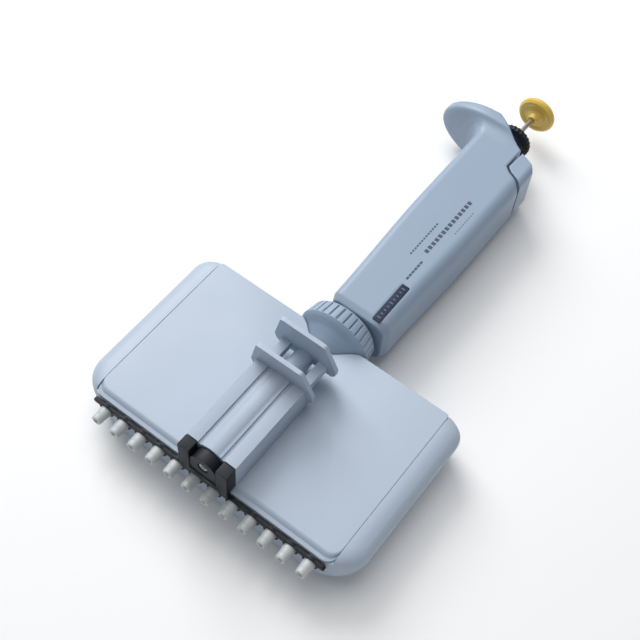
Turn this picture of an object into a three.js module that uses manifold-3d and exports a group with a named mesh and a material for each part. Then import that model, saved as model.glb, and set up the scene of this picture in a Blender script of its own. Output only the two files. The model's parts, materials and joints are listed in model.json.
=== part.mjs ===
// Twelve-channel pipette, lying on its back.
// Millimetres. X runs along the nozzle row, Y from the nozzles to the push button, Z up.
// Inside the file every height along the pipette is measured from the nozzle ends, and every
// depth from the plane of the nozzle row. The last lines move the whole part onto its base.
import * as THREE from 'three';
import { mergeVertices } from 'three/addons/utils/BufferGeometryUtils.js';
import Module from 'manifold-3d';

const wasm = await Module();
wasm.setup();

// ---- Driving dimensions ----
const CHANNELS = 12;
const PITCH = 9; // spacing of a 96-well plate
const GAP = 0.3; // between pieces that touch

const AXIS_Z = 0.5; // plunger and swivel axis above the nozzle row
const FRONT_Z = 6; // front plate
const BACK_Z = -16.1; // flat back, the resting plane
const TOTAL_LENGTH = 248.2;

const BODY_LOW = 8; // lower end of the manifold housing
const BODY_TOP = 84.8;
const BODY_HALF = 66.1; // half width over the rounded cheeks
const COVER_HALF = 57.2; // half width of the front cover
const WALL = 2.2;

const NOZZLE_TIP_R = 1.95;
const NOZZLE_ROOT_R = 2.6;
const NOZZLE_FLANGE_R = 3.3;
const NOZZLE_TOP = 12.2;
const BLOCK_LOW = 14;
const BLOCK_TOP = 36;
const PISTON_R = 1.2;
const PISTON_BAR_LOW = 48;
const PISTON_BAR_TOP = 54;

const SLEEVE_LOW = 10.8;
const SLEEVE_TOP = 53.4;
const RAIL_HALF = 11.5; // outer faces of the two square rails
const RAIL_TOP = 18.2;
const SLEEVE_FLOOR = 2.4; // thickness of the sleeve's lower end
const VALLEY_IN = 4.2; // grooves between the tube's crest and the rails
const VALLEY_DEPTH = 0.9;
const RAIL_WALL = 0.5; // between such a groove and the bar's channel
const TUBE_R = 6.3;
const TUBE_Z = 14.1;
const ROD_R = 4.3;
const ROD_THIN_R = 2.1;
const SPIGOT_R = ROD_R - 1; // its end in the moving flange
const BAR_IN = 6.7; // square ejector bars, inner and outer faces
const BAR_OUT = 10.6;
const BAR_LOW_Z = 13.6;
const BAR_TOP_Z = 17.6;
const BAR_PLAY = 0.25;
const FLANGE_THICK = 1.9;
const FLANGE_TOP_Z = 33.6;
const FLANGE_LEAN = 0.15; // the flanges' outer edges lean towards the nozzles
const SLEEVE_FLANGE = 49.3; // lower faces of the fixed and the moving flange, at the outer edge
const GRIP_LOW = 63.9;
const FOOT_LOW = 5.3;
const FOOT_TOP = 10.4;
const STRIPPER_LOW = 5.9;
const STRIPPER_TOP = 7.6;
const STRIPPER_HALF = 57;

const NECK_R = 6; // neck tube that the nut and the handle turn on
const NUT_LOW = 78.3;
const NUT_BAND = 86.4;
const NUT_TOP = 94;
const NUT_R = 16.5;
const NUT_RIBS = 30;

const HANDLE_LOW = 96;
const HANDLE_FLOOR = 99;
const HANDLE_BACK_Z = AXIS_Z - 13;
const HANDLE_FRONT_Z = AXIS_Z + 13;
const HANDLE_LEFT = -9.8; // side of the finger hook
const HANDLE_RIGHT = 18.2;
const HANDLE_SWELL = 2; // each side, from the lower end to the middle
const HANDLE_SWELL_END = 165;
const HANDLE_CORNERS = [3.4, 5.2, 5.2, 3.4];
const HOOK_REACH = -33.6;
const HOOK_HALF = 12.8;
const HOOK_TOP = 221;

const COLLAR_TOP = 230.4;
const BUTTON_R = 9.1;
const BUTTON_LOW = 240.6;
const PLUNGER_R = 1.2;
const PUSH_ROD_R = 2.2;

const DRUM_X = 11;
const DRUM_Z = AXIS_Z - 5.3;
const DRUM_R = 5.2;
const DRUM_LOW = 150;
const DRUM_LENGTH = 4.4;

// ---- Materials ----
const plastic = (color, roughness = 0.45) =>
  new THREE.MeshStandardMaterial({ color, roughness, metalness: 0 });
const metal = (color, roughness = 0.3) =>
  new THREE.MeshStandardMaterial({ color, roughness, metalness: 1 });
const MATERIAL = {
  housing: plastic(0xb9c8d8),
  handle: plastic(0xa5b6cb),
  nut: plastic(0x9fb2c6),
  nozzle: plastic(0xc8cccc, 0.35),
  black: plastic(0x24272c, 0.5),
  button: plastic(0xd0b347, 0.35),
  label: plastic(0x27324a, 0.4),
  inner: plastic(0xd8dadb, 0.6),
  rubber: plastic(0x3a3d40, 0.9),
  steel: metal(0xc4c7ca),
  window: new THREE.MeshStandardMaterial({
    color: 0xdfe8ee, roughness: 0.1, transparent: true, opacity: 0.4,
  }),
};

// ---- Solids ----
// A closed geometry becomes a solid with its faces pointing out.
function solid(geometry) {
  const bare = geometry.index ? geometry.toNonIndexed() : geometry.clone();
  bare.deleteAttribute('normal');
  bare.deleteAttribute('uv');
  const merged = mergeVertices(bare, 1e-4);
  const triangles = new Uint32Array(merged.index.array);
  const points = merged.attributes.position.array;
  const build = () =>
    new wasm.Manifold(new wasm.Mesh({ numProp: 3, vertProperties: points, triVerts: triangles }));
  const first = build();
  if (first.volume() > 0) return first;
  for (let i = 0; i < triangles.length; i += 3) {
    [triangles[i + 1], triangles[i + 2]] = [triangles[i + 2], triangles[i + 1]];
  }
  return build();
}

const join = (first, ...others) => others.reduce((sum, other) => sum.add(other), first);
const cut = (first, ...tools) => tools.reduce((rest, tool) => rest.subtract(tool), first);

function block(x0, x1, y0, y1, z0, z1) {
  const box = new THREE.BoxGeometry(x1 - x0, y1 - y0, z1 - z0);
  box.translate((x0 + x1) / 2, (y0 + y1) / 2, (z0 + z1) / 2);
  return solid(box);
}

// An outline in X and Y, extruded from z0 to z1.
function prismZ(shape, z0, z1, curveSegments = 6) {
  const form = new THREE.ExtrudeGeometry(shape, {
    depth: z1 - z0, bevelEnabled: false, curveSegments,
  });
  form.translate(0, 0, z0);
  return solid(form);
}

// An outline in X and Z, extruded from y0 to y1.
function prismYGeometry(shape, y0, y1, curveSegments = 6, steps = 1) {
  const form = new THREE.ExtrudeGeometry(shape, {
    depth: y1 - y0, bevelEnabled: false, curveSegments, steps,
  });
  form.rotateX(Math.PI / 2);
  form.translate(0, y1, 0);
  return form;
}
const prismY = (...args) => solid(prismYGeometry(...args));

// A profile of [radius, y] points turned about a line parallel to Y.
function turned(profile, { x = 0, z = AXIS_Z, segments = 24 } = {}) {
  const points = profile.map(([radius, y]) => new THREE.Vector2(radius, y));
  const form = new THREE.LatheGeometry(points, segments);
  form.translate(x, 0, z);
  return solid(form);
}

const rod = (radius, y0, y1, place) =>
  turned([[0, y0], [radius, y0], [radius, y1], [0, y1]], place);
const tube = (inner, outer, y0, y1, place) =>
  turned([[inner, y0], [outer, y0], [outer, y1], [inner, y1], [inner, y0]], place);

// An outline given as [y, z] points, extruded along X.
function prismX(points, x0, x1) {
  const form = new THREE.ExtrudeGeometry(polygon(points), {
    depth: x1 - x0, bevelEnabled: false,
  });
  form.applyMatrix4(new THREE.Matrix4().set(0, 0, 1, x0, 1, 0, 0, 0, 0, 1, 0, 0, 0, 0, 0, 1));
  return solid(form);
}

function polygon(points) {
  return new THREE.Shape(points.map(([a, b]) => new THREE.Vector2(a, b)));
}

// A rectangle with its own corner radius at low-left, low-right, high-right and high-left.
function roundedRect(a0, a1, b0, b1, [lowLeft, lowRight, highRight, highLeft]) {
  const shape = new THREE.Shape();
  const quarter = Math.PI / 2;
  shape.absarc(a0 + lowLeft, b0 + lowLeft, lowLeft, 2 * quarter, 3 * quarter);
  shape.absarc(a1 - lowRight, b0 + lowRight, lowRight, 3 * quarter, 4 * quarter);
  shape.absarc(a1 - highRight, b1 - highRight, highRight, 0, quarter);
  shape.absarc(a0 + highLeft, b1 - highLeft, highLeft, quarter, 2 * quarter);
  return shape;
}

// ---- Assembly ----
const part = new THREE.Group();
const pipette = new THREE.Group();
pipette.position.set(0, -TOTAL_LENGTH / 2, -BACK_Z);
part.add(pipette);

function add(name, material, body) {
  const mesh = body.getMesh();
  const geometry = new THREE.BufferGeometry();
  geometry.setAttribute('position', new THREE.BufferAttribute(mesh.vertProperties.slice(), 3));
  geometry.setIndex(new THREE.BufferAttribute(mesh.triVerts.slice(), 1));
  geometry.computeVertexNormals();
  const piece = new THREE.Mesh(geometry, material);
  piece.name = name;
  pipette.add(piece);
}

const channelX = (i) => (i - (CHANNELS - 1) / 2) * PITCH;
const channels = Array.from({ length: CHANNELS }, (_, i) => channelX(i));
const number = (i) => String(i + 1).padStart(2, '0');

// ---- Manifold housing ----
// Cross-section in X and Z: flat front, cheeks that round over to a flat back.
function housingSection(inset) {
  const cheekZ = 0.7;
  const backFlat = 53;
  const shape = new THREE.Shape();
  const half = BODY_HALF - inset;
  const front = FRONT_Z - inset;
  const back = BACK_Z + inset;
  shape.moveTo(-backFlat, back);
  shape.lineTo(backFlat, back);
  shape.absellipse(backFlat, cheekZ, half - backFlat, cheekZ - back, -Math.PI / 2, 0);
  shape.absellipse(COVER_HALF, cheekZ, half - COVER_HALF, front - cheekZ, 0, Math.PI / 2);
  shape.absellipse(-COVER_HALF, cheekZ, half - COVER_HALF, front - cheekZ, Math.PI / 2, Math.PI);
  shape.absellipse(-backFlat, cheekZ, half - backFlat, cheekZ - back, Math.PI, 1.5 * Math.PI);
  return shape;
}

function housingOutline(inset) {
  const lowCorner = 10 - inset;
  const topCorner = 7 - inset;
  return roundedRect(
    -BODY_HALF + inset, BODY_HALF - inset, BODY_LOW + inset, BODY_TOP - inset,
    [lowCorner, lowCorner, topCorner, topCorner],
  );
}

function housingForm(inset) {
  const reach = 20;
  return prismY(housingSection(inset), BODY_LOW + inset, BODY_TOP - inset, 5)
    .intersect(prismZ(housingOutline(inset), BACK_Z - reach, FRONT_Z + reach, 4));
}

// The nut's cone, and the round pit in the upper edge that it sinks into.
const NUT_CONE = [[7.6, NUT_LOW], [10, 81], [12.4, 83.4], [15.2, 85.2], [NUT_R, NUT_BAND]];
function nutPit(clearance) {
  const wall = NUT_CONE.map(([radius, y]) => [radius + clearance, y - clearance]);
  return turned([
    [0, NUT_LOW - clearance], ...wall, [NUT_R + clearance, BODY_TOP + 5], [0, BODY_TOP + 5],
  ], { segments: 24 });
}

const nozzleHoles = channels.map((x) =>
  rod(NOZZLE_ROOT_R + GAP, BODY_LOW - 1, BODY_LOW + WALL + 1, { x, z: 0, segments: 12 }));
const neckHole = rod(NECK_R + GAP, 60, BODY_TOP + 1);
const COVER_BACK_Z = FRONT_Z - WALL;
const coverSeat = block(
  -COVER_HALF - GAP, COVER_HALF + GAP, BODY_LOW - 1, BODY_TOP + 1, COVER_BACK_Z - GAP, FRONT_Z + 1,
);
const SCREW_X = 55.2;
const SCREW_Y = [26, 72];
const SCREW_HEAD_R = 2.1;
const SCREW_HEAD_Z = BACK_Z + 1.6;
const SCREW_R = 1;
const SCREW_END = 2;
const BOSS_R = 3.2; // hollow pillars inside both housing halves, joined end to end
const BOSS_MEET_Z = -3;
const screwPlaces = [-SCREW_X, SCREW_X].flatMap((x) => SCREW_Y.map((y) => [x, y]));

// A turned form about a line parallel to Z: profile of [radius, z] points.
function turnedZ(profile, x, y, segments = 14) {
  const points = profile.map(([radius, z]) => new THREE.Vector2(radius, z));
  const form = new THREE.LatheGeometry(points, segments);
  form.rotateX(Math.PI / 2);
  form.translate(x, y, 0);
  return solid(form);
}
const pillarZ = (radius, x, y, z0, z1, segments) =>
  turnedZ([[0, z0], [radius, z0], [radius, z1], [0, z1]], x, y, segments);

function backShell() {
  const pillars = screwPlaces.map(([x, y]) => pillarZ(BOSS_R, x, y, BACK_Z, BOSS_MEET_Z - GAP));
  const cavity = cut(housingForm(WALL), nutPit(WALL), ...pillars);
  const screwBores = screwPlaces.flatMap(([x, y]) => [
    pillarZ(SCREW_R + GAP, x, y, BACK_Z - 1, COVER_BACK_Z),
    pillarZ(SCREW_HEAD_R + GAP, x, y, BACK_Z - 1, SCREW_HEAD_Z + 2 + GAP),
  ]);
  return cut(
    housingForm(0), cavity, coverSeat, nutPit(GAP), neckHole, ...nozzleHoles, ...screwBores,
  );
}

// The cover's lower edge folds down in a bevel and ends in a thin lip.
function frontCover() {
  const bevel = 3.2;
  const side = prismX([
    [BODY_LOW, COVER_BACK_Z], [BODY_LOW, FRONT_Z - 1.6], [BODY_LOW + 1, FRONT_Z - 1.2],
    [BODY_LOW + bevel, FRONT_Z], [BODY_TOP, FRONT_Z], [BODY_TOP, COVER_BACK_Z],
  ], -COVER_HALF, COVER_HALF);
  const corner = 4;
  const outline = roundedRect(
    -COVER_HALF, COVER_HALF, BODY_LOW, BODY_TOP, [corner, corner, 1.2, 1.2],
  );
  const postR = COVER_HALF - SCREW_X;
  const posts = screwPlaces.map(([x, y]) => pillarZ(postR, x, y, BOSS_MEET_Z, FRONT_Z - 0.5));
  const bores = screwPlaces.map(([x, y]) =>
    pillarZ(SCREW_R + 0.2, x, y, BOSS_MEET_Z - 1, SCREW_END + 1));
  const plate = side.intersect(prismZ(outline, 0, FRONT_Z + 1));
  return cut(join(plate, ...posts), ...bores, nutPit(GAP));
}

add('back_shell', MATERIAL.housing, backShell());
add('front_cover', MATERIAL.housing, frontCover());

screwPlaces.forEach(([x, y], i) => {
  const head = turnedZ([
    [0, SCREW_HEAD_Z], [SCREW_HEAD_R, SCREW_HEAD_Z], [SCREW_HEAD_R, SCREW_HEAD_Z + 2],
    [SCREW_R, SCREW_HEAD_Z + 2], [SCREW_R, SCREW_END], [0, SCREW_END],
  ], x, y);
  const socket = pillarZ(1, x, y, BACK_Z, SCREW_HEAD_Z + 1.2, 6);
  add(`cover_screw_${i + 1}`, MATERIAL.steel, cut(head, socket));
});

// ---- Nozzles, seal and cylinders ----
const NOZZLE_BORE_R = 1;
const nozzleProfile = [
  [NOZZLE_BORE_R, 0.3],
  [NOZZLE_TIP_R - 0.4, 0],
  [NOZZLE_TIP_R, 0.4],
  [NOZZLE_ROOT_R, 6.4],
  [NOZZLE_ROOT_R, BODY_LOW + WALL + GAP],
  [NOZZLE_FLANGE_R, BODY_LOW + WALL + GAP],
  [NOZZLE_FLANGE_R, NOZZLE_TOP],
  [NOZZLE_BORE_R, NOZZLE_TOP],
  [NOZZLE_BORE_R, 0.3],
];
channels.forEach((x, i) => {
  add(`nozzle_${number(i)}`, MATERIAL.nozzle, turned(nozzleProfile, { x, z: 0, segments: 12 }));
});

const ROW_HALF = channelX(CHANNELS - 1) + 2.2;
const sealHoles = channels.map((x) => rod(1.6, NOZZLE_TOP, BLOCK_LOW, { x, z: 0, segments: 8 }));
const seal = block(-ROW_HALF, ROW_HALF, NOZZLE_TOP + GAP, BLOCK_LOW - GAP, -3, 3);
add('seal_strip', MATERIAL.rubber, cut(seal, ...sealHoles));

const cylinders = channels.map((x) =>
  rod(PISTON_R + GAP, BLOCK_LOW - 1, BLOCK_TOP + 1, { x, z: 0, segments: 8 }));
add('cylinder_block', MATERIAL.inner, cut(
  block(-ROW_HALF, ROW_HALF, BLOCK_LOW, BLOCK_TOP, -6.5, COVER_BACK_Z - 2 * GAP), ...cylinders,
));

// ---- Pistons and push rod ----
const PISTON_LOW = 25;
const PUSH_ROD_TOP = 128;
channels.forEach((x, i) => {
  add(`piston_${number(i)}`, MATERIAL.steel,
    rod(PISTON_R, PISTON_LOW, PISTON_BAR_LOW - GAP, { x, z: 0, segments: 8 }));
});
add('piston_bar', MATERIAL.inner,
  block(-ROW_HALF, ROW_HALF, PISTON_BAR_LOW, PISTON_BAR_TOP, -4, COVER_BACK_Z - 1));

const SPRING_SEAT = 124;
add('push_rod', MATERIAL.steel, turned([
  [0, PISTON_BAR_TOP + GAP], [PUSH_ROD_R, PISTON_BAR_TOP + GAP], [PUSH_ROD_R, SPRING_SEAT],
  [5.4, SPRING_SEAT], [5.4, SPRING_SEAT + 2], [PUSH_ROD_R, SPRING_SEAT + 2],
  [PUSH_ROD_R, PUSH_ROD_TOP], [0, PUSH_ROD_TOP],
]));

// ---- Tip ejector ----
const ROW_Z = { z: TUBE_Z };
const barShape = (side, clearance) => {
  const low = side > 0 ? BAR_IN - clearance : -BAR_OUT - clearance;
  const high = side > 0 ? BAR_OUT + clearance : -BAR_IN + clearance;
  return [low, high];
};
const bar = (side, y0, y1, clearance = 0) => {
  const [x0, x1] = barShape(side, clearance);
  return block(x0, x1, y0, y1, BAR_LOW_Z - clearance, BAR_TOP_Z + clearance);
};

// Finger flange: narrow outer edge, wide shoulders near the cover, leaning over the rails.
function fingerFlange(y) {
  const half = [
    [9.2, FLANGE_TOP_Z], [10.6, FLANGE_TOP_Z - 1.2], [14.8, 17], [14.4, 13.4], [12.4, 10.4],
  ];
  const mirrored = half.map(([x, z]) => [-x, z]).reverse();
  const form = prismYGeometry(polygon([...mirrored, ...half]), y, y + FLANGE_THICK);
  const position = form.attributes.position;
  for (let i = 0; i < position.count; i += 1) {
    const lean = FLANGE_LEAN * (FLANGE_TOP_Z - position.getZ(i));
    position.setY(i, position.getY(i) + lean);
  }
  return solid(form);
}

function guideSleeve() {
  const flange = fingerFlange(SLEEVE_FLANGE);
  const base = block(
    -RAIL_HALF, RAIL_HALF, SLEEVE_LOW, SLEEVE_TOP, FRONT_Z + GAP, RAIL_TOP,
  );
  const barrel = rod(TUBE_R, SLEEVE_LOW, SLEEVE_TOP, ROW_Z);
  const valleyEnd = SLEEVE_FLANGE + FLANGE_LEAN * (FLANGE_TOP_Z - RAIL_TOP);
  const valleys = [-1, 1].map((side) => {
    const [x0, x1] = side > 0 ? [VALLEY_IN, BAR_IN - RAIL_WALL] : [RAIL_WALL - BAR_IN, -VALLEY_IN];
    return block(x0, x1, SLEEVE_LOW - 1, valleyEnd, RAIL_TOP - VALLEY_DEPTH, RAIL_TOP + 1);
  });
  const floor = SLEEVE_LOW + SLEEVE_FLOOR;
  const boreEnd = SLEEVE_TOP + 3; // past the flange's leaning back
  const bore = join(
    rod(ROD_THIN_R + GAP, SLEEVE_LOW - 1, floor + 1, ROW_Z),
    rod(ROD_R + GAP, floor, boreEnd, ROW_Z),
  );
  return cut(
    join(cut(base, ...valleys), barrel, flange), bore,
    bar(-1, SLEEVE_LOW - 1, boreEnd, BAR_PLAY), bar(1, SLEEVE_LOW - 1, boreEnd, BAR_PLAY),
  );
}
add('guide_sleeve', MATERIAL.housing, guideSleeve());

const ROD_SHOULDER = 42;
const ROD_TOP = 65.8; // the rod's face under the moving flange
const SPIGOT_TOP = 70;
const BAR_END = FOOT_TOP + GAP;
function ejectorGrip() {
  const seat = rod(SPIGOT_R + GAP, GRIP_LOW, SPIGOT_TOP, ROW_Z);
  const barTop = GRIP_LOW + FLANGE_LEAN * (FLANGE_TOP_Z - BAR_LOW_Z) + FLANGE_THICK / 4;
  return join(cut(fingerFlange(GRIP_LOW), seat), bar(-1, BAR_END, barTop), bar(1, BAR_END, barTop));
}
add('ejector_grip', MATERIAL.housing, ejectorGrip());

const FOOT_SCREW_R = 1;
const rodBlind = rod(FOOT_SCREW_R + 0.2, FOOT_TOP - 1, FOOT_TOP + 8, { ...ROW_Z, segments: 10 });
add('ejector_rod', MATERIAL.housing, cut(turned([
  [0, FOOT_TOP + GAP], [ROD_THIN_R, FOOT_TOP + GAP], [ROD_THIN_R, ROD_SHOULDER],
  [ROD_R, ROD_SHOULDER], [ROD_R, ROD_TOP], [SPIGOT_R, ROD_TOP],
  [SPIGOT_R, SPIGOT_TOP - 0.4], [0, SPIGOT_TOP - 0.4],
], ROW_Z), rodBlind));

// The foot holds both bars and the rod and reaches over the cover's edge to the stripper.
function ejectorFoot() {
  const cheeks = [-1, 1].map((side) => {
    const [x0, x1] = side > 0 ? [BAR_IN - 0.3, RAIL_HALF] : [-RAIL_HALF, 0.3 - BAR_IN];
    return block(x0, x1, FOOT_LOW, FOOT_TOP, FRONT_Z + 0.4, RAIL_TOP);
  });
  const nose = rod(TUBE_R - 0.1, FOOT_LOW + 0.4, FOOT_TOP, ROW_Z);
  const middle = block(-7, 7, FOOT_LOW + 0.4, FOOT_TOP, FRONT_Z + 0.4, TUBE_Z);
  const apron = block(-RAIL_HALF, RAIL_HALF, FOOT_LOW, STRIPPER_TOP, 4.3, FRONT_Z + 1);
  const screwBore = rod(FOOT_SCREW_R + 0.2, 0, FOOT_TOP + 1, { ...ROW_Z, segments: 10 });
  const screwSeat = rod(2.3, 0, FOOT_LOW + 2.2, { ...ROW_Z, segments: 14 });
  return cut(join(...cheeks, nose, middle, apron), screwBore, screwSeat);
}
add('ejector_foot', MATERIAL.black, ejectorFoot());

const screwHeadTop = FOOT_LOW + 2;
add('foot_screw', MATERIAL.steel, cut(turned([
  [0, FOOT_LOW + 0.6], [2, FOOT_LOW + 0.6], [2, screwHeadTop], [FOOT_SCREW_R, screwHeadTop],
  [FOOT_SCREW_R, FOOT_TOP + 7], [0, FOOT_TOP + 7],
], { ...ROW_Z, segments: 14 }), rod(1, 0, FOOT_LOW + 1.4, { ...ROW_Z, segments: 6 })));

// A narrow bar with a ring round each nozzle.
function stripper() {
  const plate = roundedRect(-STRIPPER_HALF, STRIPPER_HALF, -0.6, 4, [1.6, 1.6, 1.6, 1.6]);
  const ringR = NOZZLE_ROOT_R + 1.25;
  const rings = channels.map((x) =>
    rod(ringR, STRIPPER_LOW, STRIPPER_TOP, { x, z: 0, segments: 16 }));
  const holes = channels.map((x) =>
    rod(NOZZLE_ROOT_R + 0.25, 0, BODY_LOW, { x, z: 0, segments: 12 }));
  return cut(join(prismY(plate, STRIPPER_LOW, STRIPPER_TOP, 3), ...rings), ...holes);
}
add('ejector_plate', MATERIAL.black, stripper());

// A coil spring along Y: one closed turn at each end, open turns between.
class Helix extends THREE.Curve {
  constructor(radius, y0, y1, turns, z) {
    super();
    Object.assign(this, { radius, y0, y1, turns, z });
  }

  getPoint(t, target = new THREE.Vector3()) {
    const angle = 2 * Math.PI * this.turns * t;
    const y = THREE.MathUtils.lerp(this.y0, this.y1, t);
    return target.set(this.radius * Math.sin(angle), y, this.z + this.radius * Math.cos(angle));
  }
}
function spring(radius, wire, y0, y1, turns, z) {
  const section = new THREE.Shape().absarc(0, 0, wire / 2, 0, 2 * Math.PI);
  return solid(new THREE.ExtrudeGeometry(section, {
    steps: turns * 8,
    curveSegments: 4,
    extrudePath: new Helix(radius, y0 + wire / 2, y1 - wire / 2, turns, z),
  }));
}
add('ejector_spring', MATERIAL.steel, spring(
  3.2, 0.8, SLEEVE_LOW + SLEEVE_FLOOR + GAP, ROD_SHOULDER - GAP, 6, TUBE_Z,
));

// ---- Neck, coupling nut and swivel ----
// The neck tube's collar inside the housing is cut flat under the cover. Its groove in the
// handle takes the clip that keeps the handle on.
const CLIP_LOW = HANDLE_FLOOR + 0.5;
const CLIP_SEAT_R = NECK_R - 1;
const underCover = block(-20, 20, 60, NUT_LOW - GAP, COVER_BACK_Z - GAP, 20);
add('neck_tube', MATERIAL.inner, cut(turned([
  [PUSH_ROD_R + GAP, 70.5], [8.5, 70.5], [8.5, 73.6], [NECK_R, 73.6],
  [NECK_R, CLIP_LOW - GAP], [CLIP_SEAT_R, CLIP_LOW - GAP],
  [CLIP_SEAT_R, CLIP_LOW + 1 + GAP], [NECK_R, CLIP_LOW + 1 + GAP],
  [NECK_R, HANDLE_FLOOR + 3], [PUSH_ROD_R + GAP, HANDLE_FLOOR + 3], [PUSH_ROD_R + GAP, 70.5],
]), underCover));

function couplingNut() {
  const inner = NECK_R + GAP;
  const ring = turned([
    [inner, NUT_LOW], ...NUT_CONE, [NUT_R, NUT_BAND + 0.6],
    [15.4, NUT_TOP - 0.8], [14.8, NUT_TOP], [inner, NUT_TOP],
    [inner, NUT_LOW],
  ], { segments: NUT_RIBS });
  const depth = 0.6;
  const grooves = Array.from({ length: NUT_RIBS }, (_, i) => {
    const form = new THREE.BoxGeometry(0.7, NUT_TOP - NUT_BAND, 2);
    form.translate(0, 0, 1 - depth);
    form.rotateX(Math.atan2(-1.1, NUT_TOP - NUT_BAND));
    form.translate(0, (NUT_TOP + NUT_BAND) / 2 + 0.8, (NUT_R + 15.4) / 2);
    form.rotateY((2 * Math.PI * (i + 0.5)) / NUT_RIBS);
    form.translate(0, 0, AXIS_Z);
    return solid(form);
  });
  return cut(ring, ...grooves);
}
add('coupling_nut', MATERIAL.nut, couplingNut());
add('swivel_washer', MATERIAL.black, tube(NECK_R + GAP, 10.4, NUT_TOP + GAP, HANDLE_LOW - GAP));
const clipSlot = block(-1.2, 1.2, CLIP_LOW - 1, CLIP_LOW + 2, AXIS_Z, AXIS_Z + 12);
add('retaining_clip', MATERIAL.steel,
  cut(tube(CLIP_SEAT_R + 0.2, 7.2, CLIP_LOW, CLIP_LOW + 1), clipSlot));

// ---- Handle ----
// The section widens from the lower end towards the middle.
function handleForm(inset, y0, y1) {
  const section = roundedRect(
    HANDLE_LEFT + inset, HANDLE_RIGHT - inset, HANDLE_BACK_Z + inset, HANDLE_FRONT_Z - inset,
    HANDLE_CORNERS.map((radius) => radius - inset / 2),
  );
  const form = prismYGeometry(section, y0, y1, 4, 5);
  const position = form.attributes.position;
  const middleX = (HANDLE_LEFT + HANDLE_RIGHT) / 2;
  const half = (HANDLE_RIGHT - HANDLE_LEFT) / 2;
  for (let i = 0; i < position.count; i += 1) {
    const rise = THREE.MathUtils.smoothstep(position.getY(i), HANDLE_LOW, HANDLE_SWELL_END);
    const x = position.getX(i);
    position.setX(i, x + HANDLE_SWELL * rise * ((x - middleX) / half));
  }
  return solid(form);
}

const SLOPE_LEFT = [-8, 221.3];
const SLOPE_RIGHT = [11.6, 209.7];

// The finger hook: a curved shelf out of the side wall with a rounded, D-shaped end.
function fingerHook() {
  const side = new THREE.Shape();
  side.moveTo(-6, 203);
  side.lineTo(-11, 203);
  side.quadraticCurveTo(-14.5, 214, -24, 216.4);
  side.quadraticCurveTo(-29, 217.2, HOOK_REACH + 1, 218.8);
  side.quadraticCurveTo(HOOK_REACH - 1, 220.2, HOOK_REACH + 1, 221.6);
  side.quadraticCurveTo(-26, HOOK_TOP - 0.4, -14, HOOK_TOP);
  side.lineTo(SLOPE_LEFT[0], SLOPE_LEFT[1]);
  side.lineTo(-6, 214);
  const plan = roundedRect(
    HOOK_REACH - 1, 4, AXIS_Z - HOOK_HALF, AXIS_Z + HOOK_HALF, [11, 1, 1, 11],
  );
  return prismZ(side, AXIS_Z - 14, AXIS_Z + 14, 5).intersect(prismY(plan, 200, 226, 8));
}

const KEY_OUTLINE = [[11.6, 211], [10.3, 198.6], [21.4, 192.6], [30, 192.6], [30, 211]];
const POCKET_OUTLINE = [[10.7, 230], [9.4, 197.8], [20.9, 191.5], [30, 191.5], [30, 230]];

function handleOuter() {
  const profile = polygon([
    [-40, HANDLE_LOW], [40, HANDLE_LOW], [40, 199.5], [20.6, 204.2], [17.6, 207.2],
    SLOPE_RIGHT, SLOPE_LEFT, [-40, SLOPE_LEFT[1]],
  ]);
  return handleForm(0, HANDLE_LOW, 225).intersect(prismZ(profile, -30, 30));
}

const WINDOW = { x0: DRUM_X - 3.6, x1: DRUM_X + 3.6, y0: DRUM_LOW - 1.2, y1: DRUM_LOW + 15.2 };
const LABEL = { x0: 9.9, x1: 13.6, y0: 97.6, y1: 118.8 };

function handleShell() {
  const cavityOutline = polygon([
    [-30, HANDLE_FLOOR], [30, HANDLE_FLOOR], [30, 188.4], [20, 188.4], [7.6, 195.6],
    [8.6, 208.2], [-4.5, 216.4], [-30, 216.4],
  ]);
  const cavity = handleForm(WALL, HANDLE_FLOOR, 218).intersect(prismZ(cavityOutline, -30, 30));
  const pocket = prismZ(polygon(POCKET_OUTLINE), -30, 30);
  const windowHole = block(
    WINDOW.x0 - GAP, WINDOW.x1 + GAP, WINDOW.y0 - GAP, WINDOW.y1 + GAP,
    HANDLE_BACK_Z - 1, HANDLE_BACK_Z + 3,
  );
  const labelSeat = block(
    LABEL.x0 - 0.2, LABEL.x1 + 0.2, LABEL.y0 - 0.2, LABEL.y1 + 0.2, HANDLE_FRONT_Z - 0.5, 20,
  );
  const neck = rod(NECK_R + GAP, HANDLE_LOW - 1, HANDLE_FLOOR + 1);
  const collarBore = rod(6.6, 205, 240);
  return cut(
    join(handleOuter(), fingerHook()), cavity, pocket, windowHole, labelSeat, neck, collarBore,
  );
}
add('handle_shell', MATERIAL.handle, handleShell());
add('range_label', MATERIAL.label, block(
  LABEL.x0, LABEL.x1, LABEL.y0, LABEL.y1, HANDLE_FRONT_Z - 0.3, HANDLE_FRONT_Z + 0.05,
));
add('counter_window', MATERIAL.window, block(
  WINDOW.x0, WINDOW.x1, WINDOW.y0, WINDOW.y1, HANDLE_BACK_Z + 0.1, HANDLE_BACK_Z + 1.3,
));

// The lever fills the pocket in the upper corner and is flush with the handle's faces.
const lever = handleOuter().intersect(prismZ(polygon(KEY_OUTLINE), -30, 30));
add('lock_lever', MATERIAL.handle, lever);

// ---- Volume setting and counter ----
add('setting_collar', MATERIAL.black, turned([
  [PLUNGER_R + GAP, 206], [6.2, 206], [6.2, 222], [8.8, 223], [8.8, 225.2], [7, 227],
  [7.4, 228.6], [7.4, 229.6], [6.4, COLLAR_TOP], [PLUNGER_R + GAP, COLLAR_TOP],
  [PLUNGER_R + GAP, 206],
], { segments: 20 }));
add('volume_spindle', MATERIAL.steel, tube(2.6, 3.8, 136, 206 - GAP, { segments: 20 }));

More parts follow.
